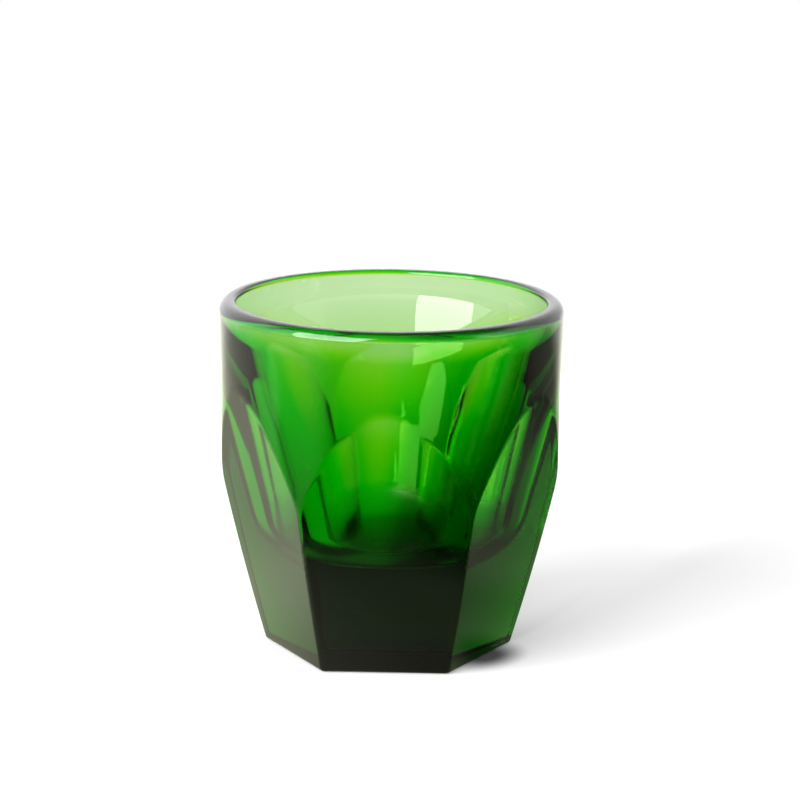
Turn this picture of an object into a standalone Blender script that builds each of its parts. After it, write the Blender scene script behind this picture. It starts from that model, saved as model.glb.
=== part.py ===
"""A faceted cortado glass, pressed in one piece from green glass.

The blank is a turned section: a round cavity over a thick floor, a full-round rim and a round belt.
A six-sided frustum then trims the blank, which leaves six flat facets that end in arches on the belt.
Metres, +Z up. The origin is the middle of the flat foot, and one facet faces -Y.
"""

import math

import bmesh
import bpy
from mathutils import Vector

# Driving dimensions of the outside
HEIGHT = 0.0764
RIM_DIAMETER = 0.0740
BELT_DIAMETER = 0.0728
FLARE_HEIGHT = 0.0200
BELT_FOOT = 0.0414
BELT_ROUND = 0.0430
FACET_COUNT = 6
FOOT_ACROSS_FLATS = 0.0465
FACET_LEAN = math.radians(12.6)
EDGE_ROUND = 0.0010

# Driving dimensions of the cavity: an upright lip under the rim, a leaning and slightly bowed wall,
# a rounded heel and a dished floor. The bow, the heel and the dish are radii of the section.
RIM_WALL = 0.0037
LIP_DEPTH = 0.0049
LIP_LEAN = math.radians(0.4)
LIP_ROUND = 0.0060
CAVITY_LEAN = math.radians(12.4)
CAVITY_BOW = 0.6000
FLOOR_THICKNESS = 0.0225
FLOOR_DISH = 0.1500
HEEL_RADIUS = 0.0100

# Fineness of the turned and rounded surfaces
TURN_STEPS = 96
RIM_STEPS = 12
FLARE_STEPS = 8
BELT_STEPS = 4
LIP_STEPS = 3
WALL_STEPS = 6
HEEL_STEPS = 8
DISH_STEPS = 4
EDGE_STEPS = 3

# How far the blank runs below the foot, and the frustum above the rim, so that no faces coincide
TRIM_MARGIN = 0.0040
# Points of the turned mesh that lie nearer than this become one
MERGE_DISTANCE = 0.00001

GLASS_COLOUR = (0.010, 0.330, 0.008, 1.0)
GLASS_ROUGHNESS = 0.02
GLASS_IOR = 1.52


def clear_scene():
    for old in list(bpy.data.objects):
        bpy.data.objects.remove(old, do_unlink=True)


def new_collection(name):
    collection = bpy.data.collections.new(name)
    bpy.context.scene.collection.children.link(collection)
    return collection


def green_glass():
    material = bpy.data.materials.new("green_glass")
    material.use_nodes = True
    shader = material.node_tree.nodes["Principled BSDF"]
    shader.inputs["Base Color"].default_value = GLASS_COLOUR
    shader.inputs["Roughness"].default_value = GLASS_ROUGHNESS
    shader.inputs["Metallic"].default_value = 0.0
    shader.inputs["IOR"].default_value = GLASS_IOR
    shader.inputs["Transmission Weight"].default_value = 1.0
    return material


def facet_apothem(height):
    """Distance from the axis to the middle of a facet, at a height above the foot."""
    return FOOT_ACROSS_FLATS / 2 + height * math.tan(FACET_LEAN)


def arc(centre, radius, start, end, steps):
    """Points on an arc from start to end (angles from +X towards +Z), both ends included."""
    points = []
    for step in range(steps + 1):
        angle = start + (end - start) * step / steps
        points.append((centre[0] + radius * math.cos(angle), centre[1] + radius * math.sin(angle)))
    return points


def rounded_corner(before, corner, after, radius, steps):
    """Points round a corner of the section, from one tangent point to the other."""
    corner = Vector(corner)
    into = (corner - Vector(before)).normalized()
    away = (Vector(after) - corner).normalized()
    half_turn = into.angle(away) / 2
    run = radius * math.tan(half_turn)
    centre = corner + (away - into).normalized() * radius / math.cos(half_turn)
    first = corner - into * run - centre
    last = corner + away * run - centre
    points = []
    for step in range(steps + 1):
        spoke = first.slerp(last, step / steps).normalized()
        points.append(tuple(centre + spoke * radius))
    return points


def lower_crossing(first, first_radius, second, second_radius):
    """The lower of the two points where two circles cross."""
    between = second - first
    along = (between.length_squared + first_radius ** 2 - second_radius ** 2) / (2 * between.length)
    aside = math.sqrt(first_radius ** 2 - along ** 2)
    ahead = between.normalized()
    crossings = []
    for side in (-aside, aside):
        crossings.append(first + ahead * along + Vector((-ahead.y, ahead.x)) * side)
    return min(crossings, key=lambda point: point.y)


def direction(centre, point):
    """Angle of the line from a centre to a point, from +X towards +Z."""
    return math.atan2(point[1] - centre[1], point[0] - centre[0])


def cavity_section(rim, half_wall):
    """The cavity from the middle of its floor up to the inner side of the rim's round."""
    rim_inside = Vector((rim[0] - half_wall * math.cos(LIP_LEAN), rim[1] + half_wall * math.sin(LIP_LEAN)))
    lip_height = HEIGHT - LIP_DEPTH
    lip = Vector((rim_inside.x - (rim_inside.y - lip_height) * math.tan(LIP_LEAN), lip_height))
    down = Vector((-math.sin(CAVITY_LEAN), -math.cos(CAVITY_LEAN)))
    lip_round = rounded_corner(lip + down, lip, rim_inside, LIP_ROUND, LIP_STEPS)
    # The heel's round touches the bowed wall and the dished floor from inside
    bow = lip + Vector((down.y, -down.x)) * CAVITY_BOW
    dish = Vector((0.0, FLOOR_THICKNESS + FLOOR_DISH))
    heel = lower_crossing(bow, CAVITY_BOW - HEEL_RADIUS, dish, FLOOR_DISH - HEEL_RADIUS)
    heel_start = direction(dish, heel)
    heel_end = direction(bow, heel)
    wall_end = direction(bow, lip_round[0])
    section = arc(dish, FLOOR_DISH, -math.pi / 2, heel_start, DISH_STEPS)
    section += arc(heel, HEEL_RADIUS, heel_start, heel_end, HEEL_STEPS)[1:]
    section += arc(bow, CAVITY_BOW, heel_end, wall_end, WALL_STEPS)[1:-1]
    section += lip_round
    return section


def belt_section(rim):
    """The outside from below the rim's round: the flare, the belt, and its turn in towards the ridges."""
    rim_radius = RIM_DIAMETER / 2
    belt_radius = BELT_DIAMETER / 2
    section = []
    for step in range(1, FLARE_STEPS + 1):
        share = step / FLARE_STEPS
        ease = share * share * (3 - 2 * share)
        section.append((rim_radius + (belt_radius - rim_radius) * ease, rim[1] - FLARE_HEIGHT * share))
    section += arc((belt_radius - BELT_ROUND, BELT_FOOT), BELT_ROUND, 0.0, -FACET_LEAN, BELT_STEPS)
    return section


def blank_section():
    """Half section of the turned blank as (radius, height): cavity, rim, belt, and a stub below the foot."""
    half_wall = RIM_WALL / 2
    rim = (RIM_DIAMETER / 2 - half_wall, HEIGHT - half_wall)
    section = cavity_section(rim, half_wall)
    section += arc(rim, half_wall, math.pi - LIP_LEAN, 0.0, RIM_STEPS)
    section += belt_section(rim)
    section.append((section[-1][0], -TRIM_MARGIN))
    section.append((0.0, -TRIM_MARGIN))
    return section


def turned_blank(collection):
    mesh = bpy.data.meshes.new("glass_body")
    section = [(radius, 0.0, height) for radius, height in blank_section()]
    edges = [(index, index + 1) for index in range(len(section) - 1)]
    mesh.from_pydata(section, edges, [])
    blank = bpy.data.objects.new("glass_body", mesh)
    collection.objects.link(blank)
    turn = blank.modifiers.new("turn", "SCREW")
    turn.axis = "Z"
    turn.angle = math.tau
    turn.steps = TURN_STEPS
    turn.render_steps = TURN_STEPS
    turn.use_merge_vertices = True
    turn.merge_threshold = MERGE_DISTANCE
    turn.use_smooth_shade = True
    return blank


def facet_frustum(collection):
    """The six-sided frustum that trims the blank. Its edges round the ridges and the foot."""
    depth = HEIGHT + TRIM_MARGIN
    to_corner = 1 / math.cos(math.pi / FACET_COUNT)
    shape = bmesh.new()
    bmesh.ops.create_cone(
        shape,
        cap_ends=True,
        segments=FACET_COUNT,
        radius1=facet_apothem(0.0) * to_corner,
        radius2=facet_apothem(depth) * to_corner,
        depth=depth,
    )
    mesh = bpy.data.meshes.new("facet_frustum")
    shape.to_mesh(mesh)
    shape.free()
    frustum = bpy.data.objects.new("facet_frustum", mesh)
    collection.objects.link(frustum)
    frustum.location.z = depth / 2
    # The primitive has a corner on Y, so half a facet's turn puts the middle of a facet there
    frustum.rotation_euler.z = math.pi / FACET_COUNT
    rounding = frustum.modifiers.new("edge_round", "BEVEL")
    rounding.width = EDGE_ROUND
    rounding.segments = EDGE_STEPS
    rounding.limit_method = "ANGLE"
    frustum.hide_render = True
    frustum.display_type = "WIRE"
    return frustum


def build():
    clear_scene()
    parts = new_collection("cortado_glass")
    cutters = new_collection("cutters")
    glass = turned_blank(parts)
    trim = glass.modifiers.new("facets", "BOOLEAN")
    trim.operation = "INTERSECT"
    trim.solver = "EXACT"
    trim.object = facet_frustum(cutters)
    # The large faces set the shading, so the facets look flat up to their arches
    shading = glass.modifiers.new("shading", "WEIGHTED_NORMAL")
    shading.mode = "FACE_AREA"
    glass.data.materials.append(green_glass())


build()
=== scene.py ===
"""The look of the green faceted cortado glass, in the frame of its solid model.

The glass is one closed mesh of rings: the flat foot, six facets that end in arches, the round belt
above them, the rounded rim and the cavity. It stands on a white floor, lit by a softbox from the left
and a dimmer light from above. The floor has a painted contact shadow beside the foot, and to
reflections and rays through the glass it glows with painted light, shade and green tint.
Metres, +Z up. The origin is the middle of the foot, and one facet faces -Y.
"""

import math

import bpy
import numpy as np
from mathutils import Matrix, Vector


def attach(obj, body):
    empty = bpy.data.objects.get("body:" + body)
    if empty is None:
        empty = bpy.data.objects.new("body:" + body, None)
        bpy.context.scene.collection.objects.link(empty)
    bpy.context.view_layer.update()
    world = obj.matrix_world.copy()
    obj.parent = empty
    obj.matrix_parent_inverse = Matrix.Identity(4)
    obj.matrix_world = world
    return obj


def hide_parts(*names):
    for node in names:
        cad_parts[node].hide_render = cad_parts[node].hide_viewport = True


# Outside of the glass
HEIGHT = 0.0764
RIM_RADIUS = 0.0370
BELT_RADIUS = 0.0364
FLARE_HEIGHT = 0.0200
BELT_FOOT = 0.0414
BELT_ROUND = 0.0430
FACET_COUNT = 6
FOOT_APOTHEM = 0.02325
FACET_LEAN = math.radians(12.6)
FOOT_ROUND = 0.0010

# The facets are a little full in the middle, and their edges are softened as fire-polished glass is
FACET_CROWN = 0.0003
CROWN_HEIGHT = 0.0380
RIDGE_SOFTNESS = 0.0006
ARCH_SOFTNESS = 0.0002

# Rim: a larger round outside than inside, with a narrow flat between them
RIM_WALL = 0.0037
RIM_OUTER_ROUND = 0.0022
RIM_INNER_ROUND = 0.0009

# Cavity: an upright lip under the rim, a leaning and slightly bowed wall, a rounded heel
# and a dished floor
LIP_DEPTH = 0.0049
LIP_LEAN = math.radians(0.4)
LIP_ROUND = 0.0200
CAVITY_LEAN = math.radians(12.4)
CAVITY_BOW = 0.6000
FLOOR_THICKNESS = 0.0225
FLOOR_DISH = 0.1500
HEEL_RADIUS = 0.0100

# Fineness of the mesh
COLUMNS_PER_FACET = 48
COLUMN_CROWDING = 0.6
FOOT_RINGS = 8
FOOT_EDGE_RINGS = 8
FACET_RINGS = 36
ARCH_RINGS = 14
ARCH_BAND = 0.0028
BELT_RINGS = 24
RIM_RINGS = 18
LIP_STEPS = 12
HEEL_STEPS = 26
DISH_STEPS = 14
WALL_STEPS = 36
CAVITY_STEP = 0.0012
HALVINGS = 44

# Green glass: light lost per metre of glass in red, green and blue
GLASS_IOR = 1.52
ABSORPTION = (140.0, 42.0, 218.0)
ABSORPTION_DENSITY = 240.0

# From here on, a value named RAMP holds where a ramp starts, where it ends, and its value at each

# Surface of the glass: fine differences of polish, slight waves, and a rougher floor of the cavity,
# bounded by its height above the foot and its distance from the axis
POLISH_SCALE = 220.0
POLISH_DETAIL = 3.0
POLISH_RAMP = (0.35, 0.75, 0.0, 0.006)
WAVE_SCALE = 90.0
WAVE_DETAIL = 1.0
WAVE_HEIGHT = 0.000006
CHILL_BOTTOM_RAMP = (FLOOR_THICKNESS - 0.0020, FLOOR_THICKNESS - 0.0010, 0.0, 0.30)
CHILL_TOP_RAMP = (0.0270, 0.0310, 1.0, 0.0)
CHILL_EDGE_RAMP = (0.0235, 0.0255, 1.0, 0.0)

# Camera, in metres and degrees, and its focal length in pixels of an 800 pixel picture
CAMERA_DISTANCE = 0.64780
CAMERA_HEIGHT = 0.20413
CAMERA_TURN = math.radians(1.36)
CAMERA_YAW = math.radians(0.181)
CAMERA_PITCH = math.radians(13.031)
CAMERA_ROLL = math.radians(0.66)
FOCAL_PIXELS = 3082.6
PICTURE_PIXELS = 800
SENSOR_WIDTH = 36.0
CLIP_START = 0.01
CLIP_END = 50.0

# Lamps: direction round the axis (0 is the camera's side) and above the floor, distance, sides, radiance
SOFTBOX = {"azimuth": -42.0, "elevation": 28.0, "distance": 1.2, "sides": (1.05, 1.05), "radiance": 8.5}
TOP_LIGHT = {"azimuth": 0.0, "elevation": 85.0, "distance": 1.5, "sides": (1.6, 1.6), "radiance": 1.6}
AIM_HEIGHT = 0.04

# Light bounces. Glass needs many
MAX_BOUNCES = 24
GLOSSY_BOUNCES = 8

# Floor for the camera: lit by the lamps near the glass, with some fill, and even white further out
FLOOR_SIZE = 12.0
FLOOR_DROP = 0.0001
FLOOR_WHITE = 0.62
FLOOR_FILL = 0.30
FAR_WHITE_RAMP = (0.20, 0.60, 0.0, 1.0)

# Painted contact shadow by the foot: its middle, its stretch along the edge there, and how it fades
# outwards
CONTACT_PLACE = (0.0214, -0.0095, 0.0)
CONTACT_STRETCH = 1.4
CONTACT_RAMP = (0.0020, 0.0095, 0.10, 1.0)

# Painted light: the shadow is a little lighter behind the glass, up to a slanting line on the right
LIFT_RAMP = (-0.005, 0.020, 0.0, 0.12)
LIFT_SLANT = -0.6
LIFT_EDGE_RAMP = (0.015, 0.035, 1.0, 0.0)

# Painted light on the floor in reflections: bright to the left and behind, which the slant weighs as
# (across, depth)
MIRROR_SLANT = (-1.3, 0.85)
MIRROR_SLANT_RAMP = (-0.05, 0.08, 0.10, 1.0)
MIRROR_LEFT_RAMP = (-0.25, -0.12, 0.72, 1.0)
MIRROR_NEAR_RAMP = (0.055, 0.085, 0.12, 0.0)
MIRROR_RIGHT_RAMP = (0.01, 0.06, 1.0, 0.55)
MIRROR_BACK_RAMP = (0.18, 0.30, 0.0, 0.8)

# Painted light in reflections: a faint glow on the floor to the right of the glass, and one in a ring
# behind it
REFLECTED_GLOW_RIGHT_RAMP = (0.040, 0.060, 0.0, 0.13)
REFLECTED_GLOW_RIGHT_END_RAMP = (0.10, 0.20, 1.0, 0.0)
REFLECTED_GLOW_RING_RAMP = (0.12, 0.28, 0.0, 0.16)
REFLECTED_GLOW_BEHIND_RAMP = (-0.05, 0.05, 0.0, 1.0)

# Painted shade in reflections: they lose the floor in front, past a slanting line that gets softer
# with distance, and see the floor in front dimmer close to the glass than far out
FRONT_SLANT = -0.5
FRONT_SOFTENING = -0.35
FRONT_DARK = -0.057
FRONT_BRIGHT = -0.055
FRONT_DISTANCE_RAMP = (0.24, 0.33, 0.3, 1.0)
FRONT_DEPTH_RAMP = (-0.09, -0.05, 0.0, 1.0)

# Painted tint of the floor in reflections: yellow-green light near the glass, white further out
MIRROR_RED = 1.0
MIRROR_GREEN_RAMP = (0.20, 0.45, 1.02, 1.0)
MIRROR_BLUE_RAMP = (0.20, 0.45, 0.75, 1.0)

# Floor through the glass, with painted light and shade. Side is across over distance: -1 is left, 1 is
# right.
# Near the glass a painted green shade: red and blue fade in further out, red soonest a little left of the
# middle
GREEN_NEAR_RAMP = (-0.30, 0.40, 0.56, 0.20)
GREEN_REACH = 0.20
GREEN_FAR = 0.97
RED_MIDDLE = -0.2
RED_START_RAMP = (0.05, 0.30, 0.068, 0.100)
RED_DELAY_RAMP = (0.38, 0.52, 0.0, 0.05)
RED_REACH = 0.15
BLUE_START_RAMP = (0.05, 0.20, 0.14, 0.165)
BLUE_REACH = 0.11
RED_BLUE_FAR = 0.98

# Painted shade on the floor through the glass: dimmer on the right, next to the foot and at a low angle
THROUGH_RIGHT_RAMP = (0.10, 0.35, 1.0, 0.74)
THROUGH_FAR_RIGHT_RAMP = (0.35, 0.75, 1.0, 0.45)
THROUGH_FOOT_RAMP = (0.015, 0.045, 0.45, 1.0)
LOW_ANGLE_SHADE_BLEND = 0.5
LOW_ANGLE_SHADE_RAMP = (0.80, 0.94, 1.0, 0.05)

# World. Diffuse rays get an even light, and reflections a band that ends lower in front than behind.
# Rays through the glass see panels to the left and right
WORLD_DIFFUSE = 0.38
BAND_TOP_RAMP = (-0.6, -0.2, 0.30, 0.82)
BAND_SOFTNESS = 0.2
BAND_BRIGHT = 1.7
BAND_DARK = 0.10
BAND_SIDE_RAMP = (-0.6, 0.6, 1.15, 0.70)
PANEL_TURN_RAMP = (math.radians(24.0), math.radians(36.0), 0.02, 0.45)
PANEL_TOP_RAMP = (0.10, 0.25, 1.0, 0.15)


def smooth_larger(first, second, width):
    """The larger of two distances, with their crossing rounded over a width."""
    overlap = np.maximum(width - np.abs(first - second), 0.0) / width
    return np.maximum(first, second) + overlap * overlap * width / 4


def bisect(low, high, is_over):
    """For each column, the value between low and high where is_over turns true."""
    for _ in range(HALVINGS):
        middle = (low + high) / 2
        over = is_over(middle)
        high = np.where(over, middle, high)
        low = np.where(over, low, middle)
    return (low + high) / 2


def column_angles():
    """Angle of each column from the middle of its facet, and round the axis. They crowd at the ridges."""
    share = np.linspace(-1.0, 1.0, COLUMNS_PER_FACET, endpoint=False)
    crowded = share + COLUMN_CROWDING * np.sin(math.pi * share) / math.pi
    from_middle = crowded * math.pi / FACET_COUNT
    round_axis = [from_middle + math.tau * facet / FACET_COUNT for facet in range(FACET_COUNT)]
    return np.tile(from_middle, FACET_COUNT), np.concatenate(round_axis)


def facet_apothem(height):
    """Distance from the axis to the middle of a facet."""
    share = np.clip(height / CROWN_HEIGHT, 0.0, 1.0)
    return FOOT_APOTHEM + height * math.tan(FACET_LEAN) + FACET_CROWN * 4 * share * (1 - share)


def belt_radius(height):
    """Radius of the round belt: it flares to the rim, and below it turns in to lean as the facets do."""
    share = np.clip((HEIGHT - RIM_OUTER_ROUND - height) / FLARE_HEIGHT, 0.0, 1.0)
    flared = RIM_RADIUS + (BELT_RADIUS - RIM_RADIUS) * share * share * (3 - 2 * share)
    below = np.maximum(BELT_FOOT - height, 0.0)
    turned = np.minimum(below, BELT_ROUND * math.tan(FACET_LEAN))
    return flared - turned * turned / (2 * BELT_ROUND) - (below - turned) * math.tan(FACET_LEAN)


def outer_radius(from_middle, height):
    """Radius of the outside in each column: the belt, cut by the nearest facet and the one next to it."""
    apothem = facet_apothem(height)
    belt = belt_radius(height)
    from_next = math.tau / FACET_COUNT - np.abs(from_middle)

    def is_outside(radius):
        facet = radius * np.cos(from_middle) - apothem
        next_facet = radius * np.cos(from_next) - apothem
        facets = smooth_larger(facet, next_facet, RIDGE_SOFTNESS)
        return smooth_larger(facets, radius - belt, ARCH_SOFTNESS) > 0.0

    axis = np.zeros_like(from_middle)
    return bisect(axis, axis + 2 * RIM_RADIUS, is_outside)


def arch_height(from_middle):
    """Height in each column where the facet ends in its arch on the belt."""

    def is_on_belt(height):
        return belt_radius(height) * np.cos(from_middle) < facet_apothem(height)

    foot = np.zeros_like(from_middle)
    return bisect(foot, foot + HEIGHT, is_on_belt)


def foot_rings(from_middle):
    """The flat foot from near the axis, and its rounded edge up to the facets."""
    level = np.zeros_like(from_middle)
    edge_top = FOOT_ROUND * (1 - math.sin(FACET_LEAN))
    wall = outer_radius(from_middle, level + edge_top)
    flat = wall - FOOT_ROUND * math.cos(FACET_LEAN)
    rings = []
    for step in range(1, FOOT_RINGS + 1):
        rings.append((flat * step / FOOT_RINGS, level))
    for step in range(1, FOOT_EDGE_RINGS + 1):
        angle = -math.pi / 2 + (math.pi / 2 - FACET_LEAN) * step / FOOT_EDGE_RINGS
        rings.append((flat + FOOT_ROUND * math.cos(angle), level + FOOT_ROUND * (1 + math.sin(angle))))
    return rings


def wall_rings(from_middle):
    """The facets, a close band of rings along their arches, and the belt up to the rim's round."""
    level = np.zeros_like(from_middle)
    bottom = level + FOOT_ROUND * (1 - math.sin(FACET_LEAN))
    arch = arch_height(from_middle)
    top = level + HEIGHT - RIM_OUTER_ROUND
    spans = [
        (bottom, arch - ARCH_BAND, FACET_RINGS),
        (arch - ARCH_BAND, arch + ARCH_BAND, ARCH_RINGS),
        (arch + ARCH_BAND, top, BELT_RINGS),
    ]
    rings = []
    for start, end, count in spans:
        for step in range(1, count + 1):
            height = start + (end - start) * step / count
            rings.append((outer_radius(from_middle, height), height))
    return rings


def arc(centre, radius, start, end, steps):
    """Points on an arc from start to end (angles from +X towards +Z), without the first."""
    points = []
    for step in range(1, steps + 1):
        angle = start + (end - start) * step / steps
        points.append(Vector((centre[0] + radius * math.cos(angle), centre[1] + radius * math.sin(angle))))
    return points


def straight(start, end):
    """Evenly spaced points on the line from start to end, without the first."""
    count = max(1, round((end - start).length / CAVITY_STEP))
    return [start.lerp(end, step / count) for step in range(1, count + 1)]


def rounded_corner(before, corner, after, radius, steps):
    """Points round a corner of the section, from one tangent point to the other."""
    into = (corner - before).normalized()
    away = (after - corner).normalized()
    half_turn = into.angle(away) / 2
    centre = corner + (away - into).normalized() * radius / math.cos(half_turn)
    first = corner - into * radius * math.tan(half_turn) - centre
    last = corner + away * radius * math.tan(half_turn) - centre
    spokes = [first.slerp(last, step / steps).normalized() for step in range(steps + 1)]
    return [centre + spoke * radius for spoke in spokes]


def lower_crossing(first, first_radius, second, second_radius):
    """The lower of the two points where two circles cross."""
    between = second - first
    along = (between.length_squared + first_radius ** 2 - second_radius ** 2) / (2 * between.length)
    aside = math.sqrt(first_radius ** 2 - along ** 2)
    ahead = between.normalized()
    crossings = []
    for side in (-aside, aside):
        crossings.append(first + ahead * along + Vector((-ahead.y, ahead.x)) * side)
    return min(crossings, key=lambda point: point.y)


def direction(centre, point):
    """Angle of the line from a centre to a point, from +X towards +Z."""
    return math.atan2(point.y - centre.y, point.x - centre.x)


def rim_round():
    """Points over the rim from outside to inside, without the first."""
    outer = (RIM_RADIUS - RIM_OUTER_ROUND, HEIGHT - RIM_OUTER_ROUND)
    inner = (RIM_RADIUS - RIM_WALL + RIM_INNER_ROUND, HEIGHT - RIM_INNER_ROUND)
    points = arc(outer, RIM_OUTER_ROUND, 0.0, math.pi / 2, RIM_RINGS)
    points.append(Vector((inner[0], HEIGHT)))
    return points + arc(inner, RIM_INNER_ROUND, math.pi / 2, math.pi - LIP_LEAN, RIM_RINGS)


def inside_section():
    """Half section as (radius, height) points: over the rim, down the cavity and in along its floor."""
    section = rim_round()
    rim_inside = section[-1]
    lip_height = HEIGHT - LIP_DEPTH
    lip = Vector((rim_inside.x - (rim_inside.y - lip_height) * math.tan(LIP_LEAN), lip_height))
    down = Vector((-math.sin(CAVITY_LEAN), -math.cos(CAVITY_LEAN)))
    lip_round = rounded_corner(rim_inside, lip, lip + down, LIP_ROUND, LIP_STEPS)
    # The heel's round touches the bowed wall and the dished floor from inside
    bow = lip + Vector((down.y, -down.x)) * CAVITY_BOW
    dish = Vector((0.0, FLOOR_THICKNESS + FLOOR_DISH))
    heel = lower_crossing(bow, CAVITY_BOW - HEEL_RADIUS, dish, FLOOR_DISH - HEEL_RADIUS)
    wall_start = direction(bow, lip_round[-1])
    wall_end = direction(bow, heel)
    heel_end = direction(dish, heel)
    section += straight(rim_inside, lip_round[0])
    section += lip_round[1:]
    section += arc(bow, CAVITY_BOW, wall_start, wall_end, WALL_STEPS)
    section += arc(heel, HEEL_RADIUS, wall_end, heel_end, HEEL_STEPS)
    section += arc(dish, FLOOR_DISH, heel_end, -math.pi / 2, DISH_STEPS)[:-1]
    return section


def new_object(name, data):
    made = bpy.data.objects.new(name, data)
    bpy.context.scene.collection.objects.link(made)
    return made


def glass_piece():
    """The glass as one closed mesh of rings, with fans to the axis at the foot and the cavity's floor."""
    from_middle, round_axis = column_angles()
    level = np.zeros_like(from_middle)
    rings = foot_rings(from_middle) + wall_rings(from_middle)
    rings += [(level + point.x, level + point.y) for point in inside_section()]
    radii = np.stack([radius for radius, _ in rings])
    heights = np.stack([height for _, height in rings])
    points = np.stack([radii * np.sin(round_axis), -radii * np.cos(round_axis), heights], axis=-1)
    foot_middle = [(0.0, 0.0, 0.0)]
    floor_middle = [(0.0, 0.0, FLOOR_THICKNESS)]
    vertices = points.reshape(-1, 3).tolist() + foot_middle + floor_middle
    here = np.arange(radii.size).reshape(radii.shape)
    beside = np.roll(here, -1, axis=1)
    quads = np.stack([here[:-1], beside[:-1], beside[1:], here[1:]], axis=-1).reshape(-1, 4)
    faces = quads.tolist()
    foot_index = len(vertices) - 2
    floor_index = len(vertices) - 1
    for left, right in zip(here[0].tolist(), beside[0].tolist()):
        faces.append((foot_index, right, left))
    for left, right in zip(here[-1].tolist(), beside[-1].tolist()):
        faces.append((floor_index, left, right))
    mesh = bpy.data.meshes.new("cortado_glass")
    mesh.from_pydata(vertices, [], faces)
    mesh.validate()
    mesh.shade_smooth()
    return new_object("cortado_glass", mesh)


def new_tree(name):
    """An empty node material and its tree."""
    material = bpy.data.materials.new(name)
    material.use_nodes = True
    material.node_tree.nodes.clear()
    return material, material.node_tree


def put(tree, value, socket):
    """Links an output to a socket, or sets the socket to a number."""
    if isinstance(value, bpy.types.NodeSocket):
        tree.links.new(value, socket)
    else:
        socket.default_value = value


def calculate(tree, operation, first, second=0.0, third=0.0):
    node = tree.nodes.new("ShaderNodeMath")
    node.operation = operation
    put(tree, first, node.inputs[0])
    put(tree, second, node.inputs[1])
    put(tree, third, node.inputs[2])
    return node.outputs[0]


def product(tree, first, *others):
    for other in others:
        first = calculate(tree, "MULTIPLY", first, other)
    return first


def total(tree, first, *others):
    for other in others:
        first = calculate(tree, "ADD", first, other)
    return first


def ramp(tree, value, start, end, low, high):
    """Eases from low to high while value goes from start to end."""
    node = tree.nodes.new("ShaderNodeMapRange")
    node.interpolation_type = "SMOOTHSTEP"
    put(tree, value, node.inputs["Value"])
    put(tree, start, node.inputs["From Min"])
    put(tree, end, node.inputs["From Max"])
    put(tree, low, node.inputs["To Min"])
    put(tree, high, node.inputs["To Max"])
    return node.outputs["Result"]


def axes(tree, vector):
    """The X, Y and Z of a vector."""
    node = tree.nodes.new("ShaderNodeSeparateXYZ")
    tree.links.new(vector, node.inputs[0])
    return node.outputs["X"], node.outputs["Y"], node.outputs["Z"]


def length(tree, vector):
    node = tree.nodes.new("ShaderNodeVectorMath")
    node.operation = "LENGTH"
    tree.links.new(vector, node.inputs[0])
    return node.outputs["Value"]


def noise(tree, coordinates, scale, detail):
    node = tree.nodes.new("ShaderNodeTexNoise")
    tree.links.new(coordinates, node.inputs["Vector"])
    node.inputs["Scale"].default_value = scale
    node.inputs["Detail"].default_value = detail
    return node.outputs[0]


def colour(tree, red, green, blue):
    node = tree.nodes.new("ShaderNodeCombineColor")
    put(tree, red, node.inputs["Red"])
    put(tree, green, node.inputs["Green"])
    put(tree, blue, node.inputs["Blue"])
    return node.outputs[0]


def emission(tree, strength, tint=(1.0, 1.0, 1.0, 1.0)):
    node = tree.nodes.new("ShaderNodeEmission")
    put(tree, strength, node.inputs["Strength"])
    put(tree, tint, node.inputs["Color"])
    return node.outputs[0]


def mix_shaders(tree, share, first, second):
    node = tree.nodes.new("ShaderNodeMixShader")
    put(tree, share, node.inputs[0])
    tree.links.new(first, node.inputs[1])
    tree.links.new(second, node.inputs[2])
    return node.outputs[0]


def add_shaders(tree, first, second):
    node = tree.nodes.new("ShaderNodeAddShader")
    tree.links.new(first, node.inputs[0])
    tree.links.new(second, node.inputs[1])
    return node.outputs[0]


def chilled_floor(tree, place):
    """Extra roughness on the cavity's floor, where the cool plunger left the glass less bright."""
    across, depth, height = axes(tree, place)
    flat = tree.nodes.new("ShaderNodeCombineXYZ")
    tree.links.new(across, flat.inputs["X"])
    tree.links.new(depth, flat.inputs["Y"])
    radius = length(tree, flat.outputs[0])
    above_foot = ramp(tree, height, *CHILL_BOTTOM_RAMP)
    below_wall = ramp(tree, height, *CHILL_TOP_RAMP)
    inside = ramp(tree, radius, *CHILL_EDGE_RAMP)
    return product(tree, below_wall, inside, above_foot)


def green_glass():
    """Clear green glass. Long paths through it go deep green, and the pressed surface is slightly wavy."""
    material, tree = new_tree("green_glass")
    place = tree.nodes.new("ShaderNodeTexCoord").outputs["Object"]
    shader = tree.nodes.new("ShaderNodeBsdfPrincipled")
    shader.inputs["Base Color"].default_value = (1.0, 1.0, 1.0, 1.0)
    shader.inputs["IOR"].default_value = GLASS_IOR
    shader.inputs["Transmission Weight"].default_value = 1.0
    polish = ramp(tree, noise(tree, place, POLISH_SCALE, POLISH_DETAIL), *POLISH_RAMP)
    tree.links.new(total(tree, polish, chilled_floor(tree, place)), shader.inputs["Roughness"])
    wave = tree.nodes.new("ShaderNodeBump")
    wave.inputs["Strength"].default_value = 1.0
    wave.inputs["Distance"].default_value = WAVE_HEIGHT
    tree.links.new(noise(tree, place, WAVE_SCALE, WAVE_DETAIL), wave.inputs["Height"])
    tree.links.new(wave.outputs[0], shader.inputs["Normal"])
    volume = tree.nodes.new("ShaderNodeVolumeAbsorption")
    kept = [1 - loss / ABSORPTION_DENSITY for loss in ABSORPTION]
    volume.inputs["Color"].default_value = (kept[0], kept[1], kept[2], 1.0)
    volume.inputs["Density"].default_value = ABSORPTION_DENSITY
    output = tree.nodes.new("ShaderNodeOutputMaterial")
    tree.links.new(shader.outputs[0], output.inputs["Surface"])
    tree.links.new(volume.outputs[0], output.inputs["Volume"])
    return material


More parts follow.
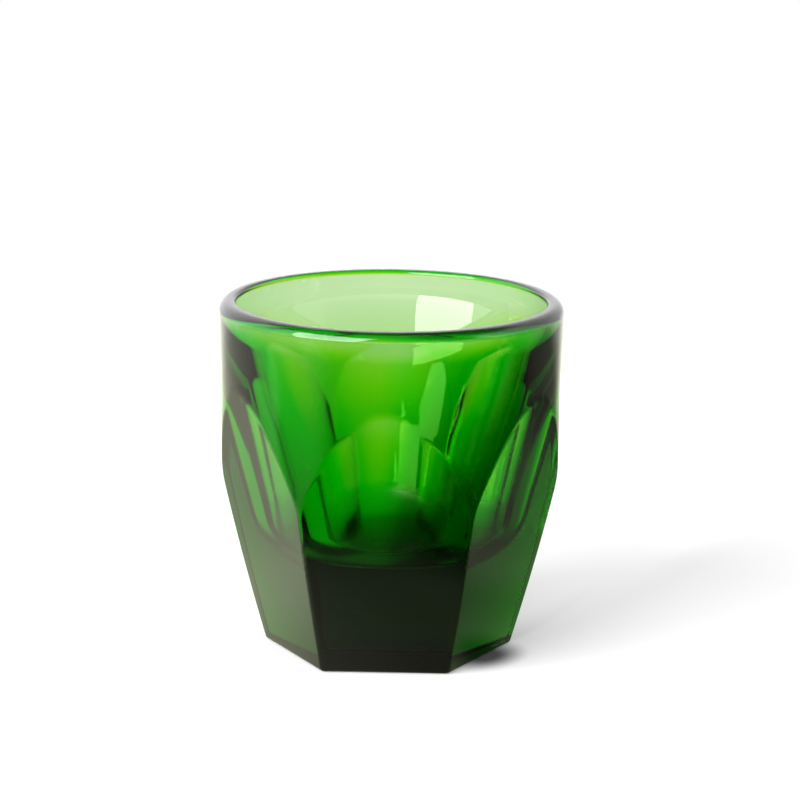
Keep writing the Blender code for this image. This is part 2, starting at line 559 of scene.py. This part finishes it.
def contact_shade(tree, place):
    """Painted contact shadow: a factor that is low on the floor close to the foot's right front edge,
    and 1 elsewhere.
    """
    beside_foot = tree.nodes.new("ShaderNodeMapping")
    beside_foot.vector_type = "TEXTURE"
    tree.links.new(place, beside_foot.inputs["Vector"])
    beside_foot.inputs["Location"].default_value = CONTACT_PLACE
    beside_foot.inputs["Rotation"].default_value = (0.0, 0.0, -math.pi / FACET_COUNT)
    beside_foot.inputs["Scale"].default_value = (1.0, CONTACT_STRETCH, 1.0)
    return ramp(tree, length(tree, beside_foot.outputs[0]), *CONTACT_RAMP)


def lit_floor(tree, across, depth, distance, contact, to_camera):
    """The floor as the lamps light it, with a painted contact shadow, painted light that lifts the shadow
    behind the glass, and the fill and the even white that only the camera sees.
    """
    diffuse = tree.nodes.new("ShaderNodeBsdfDiffuse")
    tree.links.new(product(tree, contact, FLOOR_WHITE), diffuse.inputs["Color"])
    right_of_lift = calculate(tree, "MULTIPLY_ADD", depth, LIFT_SLANT, across)
    lift = product(tree, ramp(tree, depth, *LIFT_RAMP), ramp(tree, right_of_lift, *LIFT_EDGE_RAMP))
    fill = total(tree, product(tree, contact, FLOOR_FILL), lift)
    lit = add_shaders(tree, diffuse.outputs[0], emission(tree, product(tree, to_camera, fill)))
    far = product(tree, ramp(tree, distance, *FAR_WHITE_RAMP), to_camera)
    return mix_shaders(tree, far, lit, emission(tree, 1.0))


def painted_reflection_floor(tree, across, depth, distance, contact):
    """Painted reflection: the floor glows for rays that the outside of the glass reflects, with painted
    light and shade by place.
    """
    leftward = product(tree, across, MIRROR_SLANT[0])
    slant = calculate(tree, "MULTIPLY_ADD", depth, MIRROR_SLANT[1], leftward)
    bright = ramp(tree, slant, *MIRROR_SLANT_RAMP)
    bright = product(tree, bright, ramp(tree, across, *MIRROR_LEFT_RAMP))
    bright = total(tree, bright, ramp(tree, distance, *MIRROR_NEAR_RAMP))
    bright = product(tree, bright, ramp(tree, across, *MIRROR_RIGHT_RAMP))
    bright = total(tree, bright, ramp(tree, depth, *MIRROR_BACK_RAMP))
    right = ramp(tree, across, *REFLECTED_GLOW_RIGHT_RAMP)
    right = product(tree, right, ramp(tree, distance, *REFLECTED_GLOW_RIGHT_END_RAMP))
    ring = ramp(tree, distance, *REFLECTED_GLOW_RING_RAMP)
    ring = product(tree, ring, ramp(tree, depth, *REFLECTED_GLOW_BEHIND_RAMP))
    bright = total(tree, bright, right, ring)
    front = calculate(tree, "MULTIPLY_ADD", across, FRONT_SLANT, depth)
    front_end = calculate(tree, "MULTIPLY_ADD", distance, FRONT_SOFTENING, FRONT_DARK)
    behind_front = ramp(tree, front, front_end, FRONT_BRIGHT, 0.0, 1.0)
    far_front = ramp(tree, distance, *FRONT_DISTANCE_RAMP)
    far_front = calculate(tree, "MAXIMUM", far_front, ramp(tree, depth, *FRONT_DEPTH_RAMP))
    green = ramp(tree, distance, *MIRROR_GREEN_RAMP)
    blue = ramp(tree, distance, *MIRROR_BLUE_RAMP)
    bright = product(tree, bright, behind_front, far_front, contact)
    return emission(tree, bright, colour(tree, MIRROR_RED, green, blue))


def floor_through_glass(tree, across, distance, contact):
    """The floor as it shows through the glass, glowing with painted light: painted green shade near
    the glass, white further out.
    """
    side = calculate(tree, "DIVIDE", across, distance)
    green_near = ramp(tree, side, *GREEN_NEAR_RAMP)
    off_middle = calculate(tree, "ABSOLUTE", calculate(tree, "SUBTRACT", side, RED_MIDDLE))
    red_start = ramp(tree, off_middle, *RED_START_RAMP)
    red_start = total(tree, red_start, ramp(tree, off_middle, *RED_DELAY_RAMP))
    blue_start = ramp(tree, side, *BLUE_START_RAMP)
    red = ramp(tree, distance, red_start, total(tree, red_start, RED_REACH), 0.0, RED_BLUE_FAR)
    green = ramp(tree, distance, 0.0, GREEN_REACH, green_near, GREEN_FAR)
    blue = ramp(tree, distance, blue_start, total(tree, blue_start, BLUE_REACH), 0.0, RED_BLUE_FAR)
    bright = ramp(tree, side, *THROUGH_RIGHT_RAMP)
    bright = product(tree, bright, ramp(tree, side, *THROUGH_FAR_RIGHT_RAMP))
    bright = product(tree, bright, ramp(tree, distance, *THROUGH_FOOT_RAMP), contact)
    # Painted shade: seen through the glass at a low angle, the floor is darkened
    low_angle_shade = tree.nodes.new("ShaderNodeLayerWeight")
    low_angle_shade.inputs["Blend"].default_value = LOW_ANGLE_SHADE_BLEND
    bright = product(tree, bright, ramp(tree, low_angle_shade.outputs["Facing"], *LOW_ANGLE_SHADE_RAMP))
    return emission(tree, bright, colour(tree, red, green, blue))


def floor_material():
    """White floor with a soft shadow and a painted contact shadow. Reflections and rays through the glass
    see it glow with painted light and shade of their own.
    """
    material, tree = new_tree("white_floor")
    place = tree.nodes.new("ShaderNodeNewGeometry").outputs["Position"]
    across, depth, _ = axes(tree, place)
    distance = length(tree, place)
    contact = contact_shade(tree, place)
    rays = tree.nodes.new("ShaderNodeLightPath")
    lit = lit_floor(tree, across, depth, distance, contact, rays.outputs["Is Camera Ray"])
    painted_reflection = painted_reflection_floor(tree, across, depth, distance, contact)
    through = floor_through_glass(tree, across, distance, contact)
    # A ray through the glass counts as a reflection too, so that one comes last
    surface = mix_shaders(tree, rays.outputs["Is Glossy Ray"], lit, painted_reflection)
    surface = mix_shaders(tree, rays.outputs["Is Transmission Ray"], surface, through)
    output = tree.nodes.new("ShaderNodeOutputMaterial")
    tree.links.new(surface, output.inputs["Surface"])
    return material


def add_floor():
    half = FLOOR_SIZE / 2
    corners = [(-half, -half, 0.0), (half, -half, 0.0), (half, half, 0.0), (-half, half, 0.0)]
    mesh = bpy.data.meshes.new("floor")
    mesh.from_pydata(corners, [], [(0, 1, 2, 3)])
    floor = new_object("floor", mesh)
    floor.location.z = -FLOOR_DROP
    floor.data.materials.append(floor_material())


def add_lamp(name, lamp):
    """A rectangular lamp that faces the glass. The energy follows from its sides and radiance."""
    azimuth = math.radians(lamp["azimuth"])
    elevation = math.radians(lamp["elevation"])
    across = math.cos(elevation)
    away = Vector((math.sin(azimuth) * across, -math.cos(azimuth) * across, math.sin(elevation)))
    light = bpy.data.lights.new(name, "AREA")
    light.shape = "RECTANGLE"
    light.size, light.size_y = lamp["sides"]
    light.energy = math.pi * light.size * light.size_y * lamp["radiance"]
    lamp_object = new_object(name, light)
    lamp_object.location = Vector((0.0, 0.0, AIM_HEIGHT)) + away * lamp["distance"]
    lamp_object.rotation_euler = away.to_track_quat("Z", "Y").to_euler()
    lamp_object.visible_camera = False
    return lamp_object


def add_world():
    """White for the camera, an even light for diffuse rays, and a band and panels for the glass."""
    world = bpy.data.worlds.new("studio")
    bpy.context.scene.world = world
    world.use_nodes = True
    tree = world.node_tree
    tree.nodes.clear()
    across, depth, height = axes(tree, tree.nodes.new("ShaderNodeTexCoord").outputs["Generated"])
    rays = tree.nodes.new("ShaderNodeLightPath")
    to_camera = rays.outputs["Is Camera Ray"]
    through = rays.outputs["Is Transmission Ray"]
    glossy = calculate(tree, "SUBTRACT", rays.outputs["Is Glossy Ray"], through)
    diffuse = product(tree, rays.outputs["Is Diffuse Ray"], WORLD_DIFFUSE)
    # Reflections see a bright band behind and beside the glass, and only a low one in front
    top = ramp(tree, depth, *BAND_TOP_RAMP)
    fade_start = calculate(tree, "SUBTRACT", top, BAND_SOFTNESS)
    band = ramp(tree, height, fade_start, top, BAND_BRIGHT, BAND_DARK)
    band = product(tree, band, ramp(tree, across, *BAND_SIDE_RAMP))
    # Through the glass: dark straight behind, bright panels to the left and right of that
    turn = calculate(tree, "ABSOLUTE", calculate(tree, "ARCTAN2", across, depth))
    panel = product(tree, ramp(tree, turn, *PANEL_TURN_RAMP), ramp(tree, height, *PANEL_TOP_RAMP))
    strength = total(tree, diffuse, product(tree, glossy, band), product(tree, through, panel), to_camera)
    background = tree.nodes.new("ShaderNodeBackground")
    tree.links.new(strength, background.inputs["Strength"])
    background.inputs["Color"].default_value = (1.0, 1.0, 1.0, 1.0)
    output = tree.nodes.new("ShaderNodeOutputWorld")
    tree.links.new(background.outputs[0], output.inputs["Surface"])


def add_camera():
    """The photo's camera, fitted to the rim, the foot's corners and the ridges."""
    forward = Vector((
        math.sin(CAMERA_YAW) * math.cos(CAMERA_PITCH),
        math.cos(CAMERA_YAW) * math.cos(CAMERA_PITCH),
        -math.sin(CAMERA_PITCH),
    ))
    right = Vector((math.cos(CAMERA_YAW), -math.sin(CAMERA_YAW), 0.0))
    up = right.cross(forward)
    aim = Matrix((right, up, -forward)).transposed().to_4x4()
    place = Matrix.Translation((0.0, -CAMERA_DISTANCE, CAMERA_HEIGHT))
    data = bpy.data.cameras.new("camera")
    data.sensor_width = SENSOR_WIDTH
    data.lens = SENSOR_WIDTH * FOCAL_PIXELS / PICTURE_PIXELS
    data.clip_start = CLIP_START
    data.clip_end = CLIP_END
    camera = new_object("camera", data)
    orbit = Matrix.Rotation(CAMERA_TURN, 4, "Z")
    camera.matrix_world = orbit @ place @ aim @ Matrix.Rotation(CAMERA_ROLL, 4, "Z")
    bpy.context.scene.camera = camera


def set_look():
    scene = bpy.context.scene
    scene.view_settings.view_transform = "Standard"
    scene.cycles.max_bounces = MAX_BOUNCES
    scene.cycles.transmission_bounces = MAX_BOUNCES
    scene.cycles.glossy_bounces = GLOSSY_BOUNCES
    scene.cycles.caustics_refractive = False
    scene.cycles.caustics_reflective = False


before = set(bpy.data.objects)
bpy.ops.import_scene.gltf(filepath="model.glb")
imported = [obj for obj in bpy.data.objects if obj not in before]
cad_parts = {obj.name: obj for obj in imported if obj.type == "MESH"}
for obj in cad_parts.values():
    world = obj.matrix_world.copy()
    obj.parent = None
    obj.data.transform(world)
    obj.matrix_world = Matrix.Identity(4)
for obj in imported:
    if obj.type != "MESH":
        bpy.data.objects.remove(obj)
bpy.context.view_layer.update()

glass = glass_piece()
glass.data.materials.append(green_glass())
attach(glass, "root")
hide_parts("glass_body")

add_floor()
add_lamp("softbox", SOFTBOX)
top_light = add_lamp("top_light", TOP_LIGHT)
top_light.visible_glossy = False
top_light.visible_transmission = False
add_world()
add_camera()
set_look()
